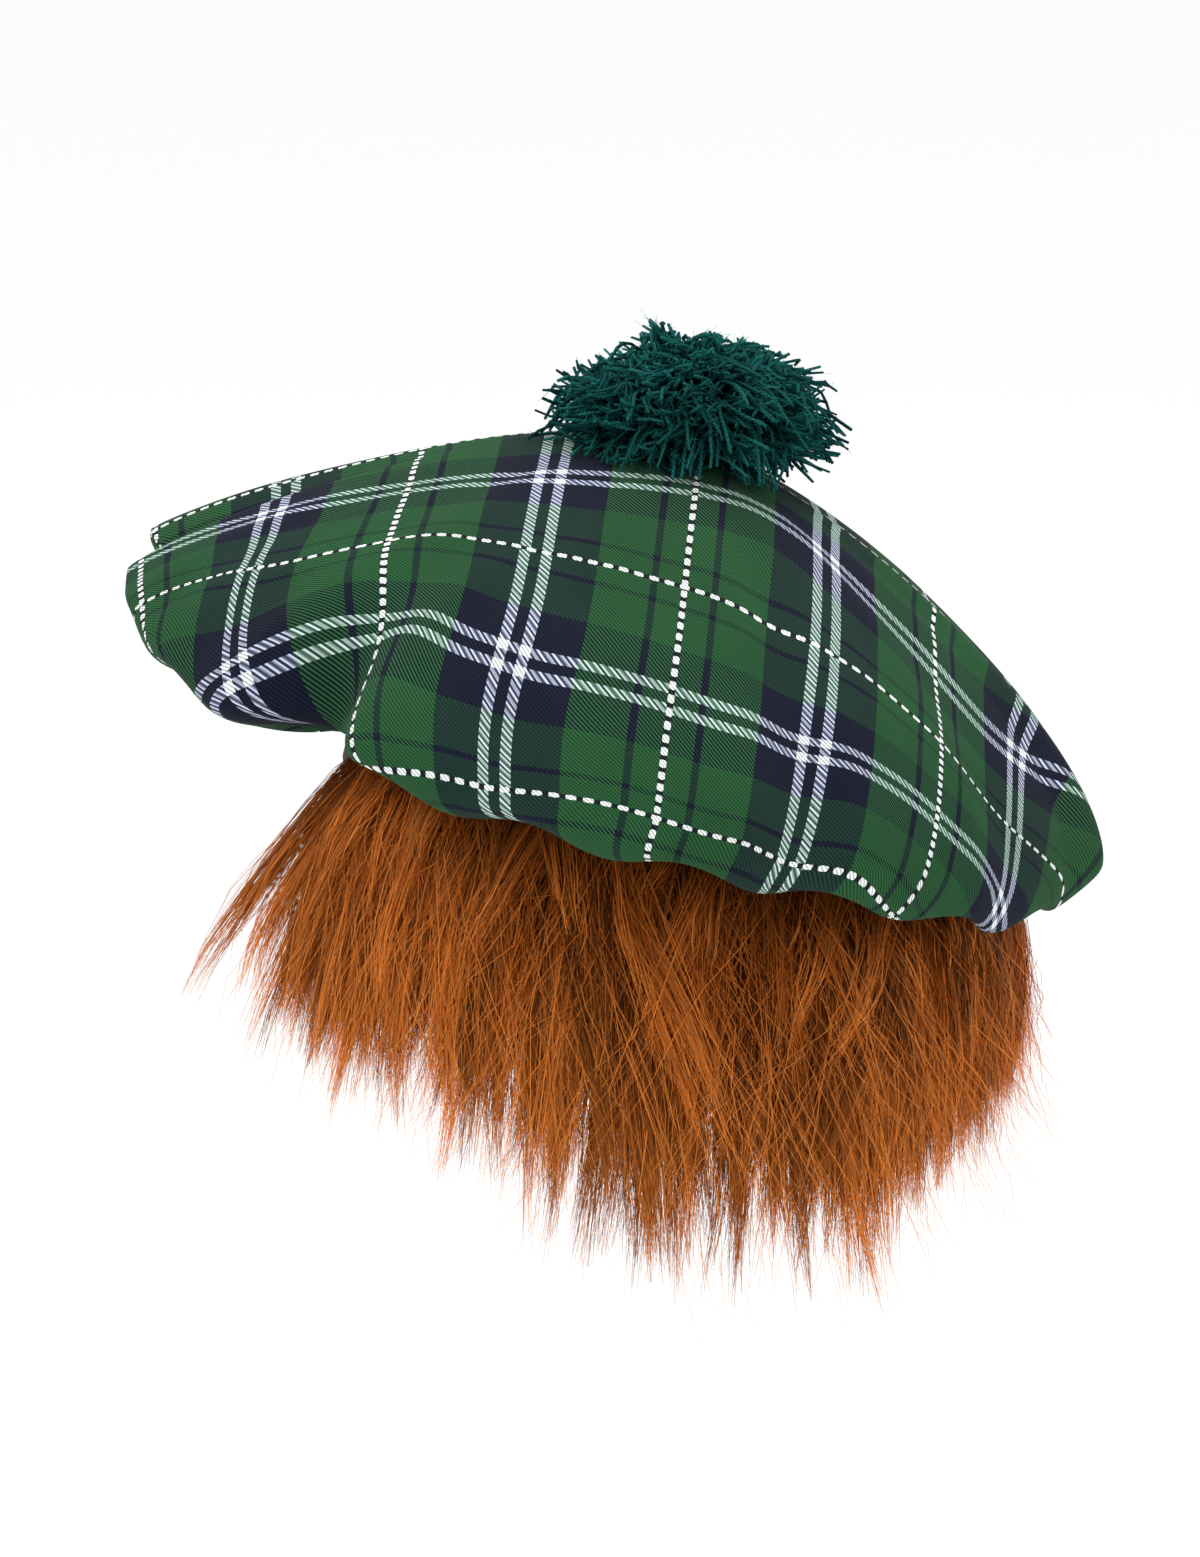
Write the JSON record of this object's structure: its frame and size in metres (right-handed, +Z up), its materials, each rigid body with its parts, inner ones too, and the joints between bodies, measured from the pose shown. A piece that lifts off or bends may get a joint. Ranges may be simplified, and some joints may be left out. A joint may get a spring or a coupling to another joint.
{
  "type": "tam o shanter hat",
  "caption": "Tartan tam with a gathered, folded round crown over a headband, a yarn pompom on top and a fringe of fake fur hair below, shown as worn.",
  "frame": {"origin": "middle of the head opening, at the height of the headband's lower edge", "axes": "+X towards the wearer's back, +Y towards the wearer's right, +Z up; the cap leans back 15 degrees about the Y axis"},
  "size_m": [0.2744, 0.2904, 0.2584],
  "materials": {
    "crown": "twill tartan, matte",
    "headband": "dark brown cloth, matte",
    "hair_fringe": "fake fur hair, soft sheen",
    "pompom": "acrylic yarn, matte"
  },
  "bodies": {
    "root": {"crown": "crown", "headband": "headband", "hair_fringe": "hair_fringe", "pompom": "pompom"}
  },
  "joints": []
}
